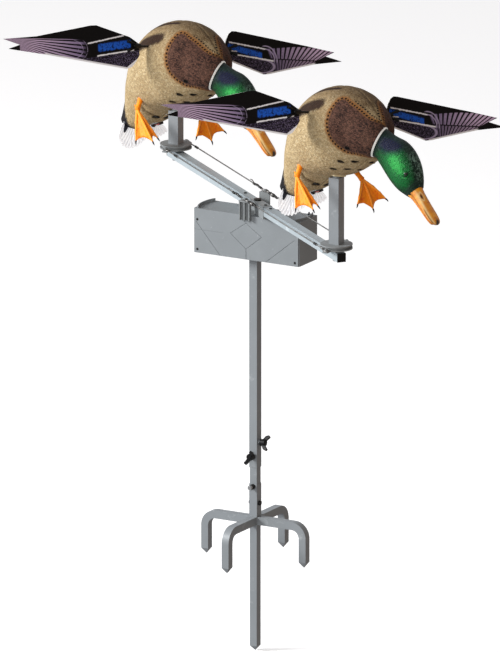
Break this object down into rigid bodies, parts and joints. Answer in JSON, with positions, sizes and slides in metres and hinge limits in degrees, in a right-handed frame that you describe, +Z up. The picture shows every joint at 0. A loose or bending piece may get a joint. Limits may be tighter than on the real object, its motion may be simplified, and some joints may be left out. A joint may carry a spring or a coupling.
{
  "type": "motorised swinging duck decoy",
  "caption": "Ground-staked mast with a gear box that swings an arm; cable-steadied turntables at its ends carry duck decoys whose blade wings spin.",
  "frame": {"origin": "on the mast axis at ground level, the underside of the fork's arms", "axes": "+Z up along the mast, +X along the gear box's long side to its right end, -Y to its front cover"},
  "size_m": [1.3206, 1.3611, 1.4232],
  "materials": {
    "powder_coat": "satin powder coat",
    "arm_metal": "bright drawn",
    "cast_grey": "satin",
    "box_plastic": "fine moulded grain",
    "black_plastic": "moulded black",
    "steel": "bright",
    "dark_steel": "blackened",
    "cable_steel": "stranded",
    "body_paint": "painted feather print",
    "head_paint": "iridescent green",
    "tail_paint": "painted feathers",
    "foot_paint": "orange",
    "wing_print": "printed feathers",
    "switch_red": "glossy",
    "battery_wrap": "shrink wrap",
    "board_green": "solder mask",
    "brass_gear": "machined"
  },
  "bodies": {
    "stand": {"ground_stake": "powder_coat", "fork_legs": "powder_coat", "fork_socket": "powder_coat", "inner_tube": "powder_coat", "stand_fasteners": "dark_steel"},
    "pull_pin": {"pull_pin": "steel"},
    "upper_knob": {"upper_knob": "black_plastic"},
    "lower_knob": {"lower_knob": "black_plastic"},
    "mast": {"mast_tube": "powder_coat", "box_housing": "box_plastic", "front_cover": "box_plastic", "cover_screws": "dark_steel", "front_cable_tab": "cast_grey", "back_cable_tab": "cast_grey", "gearmotor": "steel", "battery_pack": "battery_wrap", "control_board": "board_green", "shaft_bearings": "steel", "antenna": "black_plastic"},
    "power_switch": {"power_switch": "black_plastic"},
    "pinion": {"motor_pinion": "brass_gear"},
    "arm": {"near_arm": "arm_metal", "far_arm": "arm_metal", "arm_hub": "cast_grey", "output_gear": "brass_gear", "arm_screws": "dark_steel", "end_plugs": "black_plastic", "disc_axles": "steel", "disc_spacers": "black_plastic"},
    "front_cable": {"front_cable": "cable_steel"},
    "back_cable": {"back_cable": "cable_steel"},
    "near_duck": {"near_disc": "cast_grey", "near_post": "powder_coat", "near_left_shell": "body_paint", "near_right_shell": "body_paint", "near_head": "head_paint", "near_tail": "tail_paint", "near_feet": "foot_paint", "near_wing_motor": "steel", "near_battery": "battery_wrap", "near_switch_bezel": "black_plastic"},
    "near_wings": {"near_wing_shaft": "dark_steel", "near_left_wing": "wing_print", "near_right_wing": "wing_print"},
    "near_switch": {"near_switch_rocker": "switch_red"},
    "far_duck": {"far_disc": "cast_grey", "far_post": "powder_coat", "far_left_shell": "body_paint", "far_right_shell": "body_paint", "far_head": "head_paint", "far_tail": "tail_paint", "far_feet": "foot_paint", "far_wing_motor": "steel", "far_battery": "battery_wrap", "far_switch_bezel": "black_plastic"},
    "far_wings": {"far_wing_shaft": "dark_steel", "far_left_wing": "wing_print", "far_right_wing": "wing_print"},
    "far_switch": {"far_switch_rocker": "switch_red"}
  },
  "joints": [
    {"name": "mast_slide", "type": "slide", "parent": "stand", "child": "mast", "axis": [0, 0, 1], "range_m": [-0.037, 0.25]},
    {"name": "pin_pull", "type": "slide", "parent": "stand", "child": "pull_pin", "axis": [0, -1, 0], "range_m": [0, 0.008], "stiffness_N_per_m": 400, "springref_m": -0.004},
    {"name": "upper_knob_turn", "type": "hinge", "parent": "mast", "child": "upper_knob", "pos_m": [0.02, 0, 0.19], "axis": [1, 0, 0], "range_deg": [-720, 0]},
    {"name": "lower_knob_turn", "type": "hinge", "parent": "mast", "child": "lower_knob", "pos_m": [0, -0.02, 0.159], "axis": [0, -1, 0], "range_deg": [-720, 0]},
    {"name": "power_switch_rock", "type": "hinge", "parent": "mast", "child": "power_switch", "pos_m": [-0.08, 0.0412, 0.67], "axis": [1, 0, 0], "range_deg": [0, 14]},
    {"name": "arm_swing", "type": "hinge", "parent": "mast", "child": "arm", "pos_m": [0, 0, 0.7388], "axis": [0, 0, 1], "range_deg": [-6.6, 83.3]},
    {"name": "pinion_spin", "type": "hinge", "parent": "mast", "child": "pinion", "pos_m": [0.0375, 0, 0.694], "axis": [0, 0, 1], "range_deg": [-334, 27]},
    {"name": "front_cable_swing", "type": "hinge", "parent": "mast", "child": "front_cable", "pos_m": [0, -0.046, 0.7587], "axis": [0, 0, 1], "range_deg": [-6.7, 83.4]},
    {"name": "back_cable_swing", "type": "hinge", "parent": "mast", "child": "back_cable", "pos_m": [0, 0.046, 0.7587], "axis": [0, 0, 1], "range_deg": [-6.7, 83.4]},
    {"name": "near_turn", "type": "hinge", "parent": "arm", "child": "near_duck", "pos_m": [0.37967, -0.3005, 0.7587], "axis": [0, 0, 1], "range_deg": [-83.4, 6.7]},
    {"name": "near_wing_spin", "type": "hinge", "parent": "near_duck", "child": "near_wings", "pos_m": [0.38181, -0.2768, 1.0543], "axis": [0.4938, 0.8554, -0.1564], "continuous": true},
    {"name": "near_switch_rock", "type": "hinge", "parent": "near_duck", "child": "near_switch", "pos_m": [0.3045, -0.2507, 0.86346], "axis": [0.4938, 0.8554, -0.1564], "range_deg": [0, 10]},
    {"name": "far_turn", "type": "hinge", "parent": "arm", "child": "far_duck", "pos_m": [-0.37967, 0.3005, 0.7587], "axis": [0, 0, 1], "range_deg": [-83.4, 6.7]},
    {"name": "far_wing_spin", "type": "hinge", "parent": "far_duck", "child": "far_wings", "pos_m": [-0.37754, 0.32419, 0.9803], "axis": [0.4938, 0.8554, -0.1564], "continuous": true},
    {"name": "far_switch_rock", "type": "hinge", "parent": "far_duck", "child": "far_switch", "pos_m": [-0.45485, 0.35029, 0.78946], "axis": [0.4938, 0.8554, -0.1564], "range_deg": [0, 10]}
  ],
  "couplings": [
    {"joint": "pinion_spin", "follows": "arm_swing", "ratio": -4},
    {"joint": "front_cable_swing", "follows": "arm_swing", "ratio": 1},
    {"joint": "back_cable_swing", "follows": "arm_swing", "ratio": 1},
    {"joint": "near_turn", "follows": "arm_swing", "ratio": -1},
    {"joint": "far_turn", "follows": "arm_swing", "ratio": -1}
  ]
}
